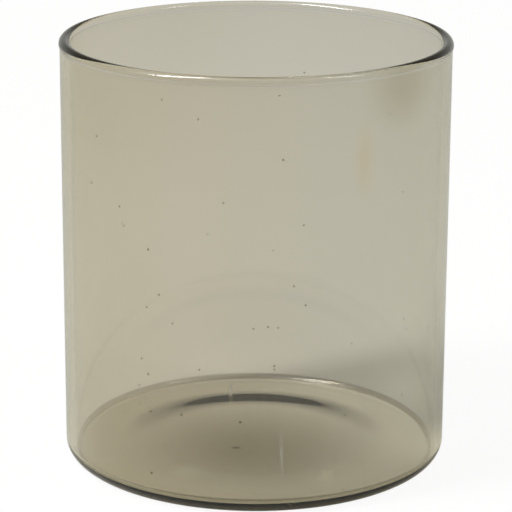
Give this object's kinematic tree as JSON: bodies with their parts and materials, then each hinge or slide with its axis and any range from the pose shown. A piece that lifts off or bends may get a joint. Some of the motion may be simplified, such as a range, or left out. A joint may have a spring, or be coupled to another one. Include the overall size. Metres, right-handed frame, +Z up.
{
  "type": "glass cylinder vase",
  "caption": "Straight-sided round vase of smoked glass, open at the top, with a fire-polished rounded lip, a rounded heel and a flat base.",
  "frame": {"origin": "centre of the foot, on the surface that the vase stands on", "axes": "+Z up along the axis of the cylinder and out of the mouth; the vase is round, so X and Y are free"},
  "size_m": [0.1206, 0.1206, 0.133],
  "materials": {
    "smoked_glass": "clear glass with a light warm grey tint, glossy, fire-polished at the rim"
  },
  "bodies": {
    "root": {"rim_bead": "smoked_glass", "cylinder_wall": "smoked_glass", "heel_ring": "smoked_glass", "base_disc": "smoked_glass"}
  },
  "joints": []
}
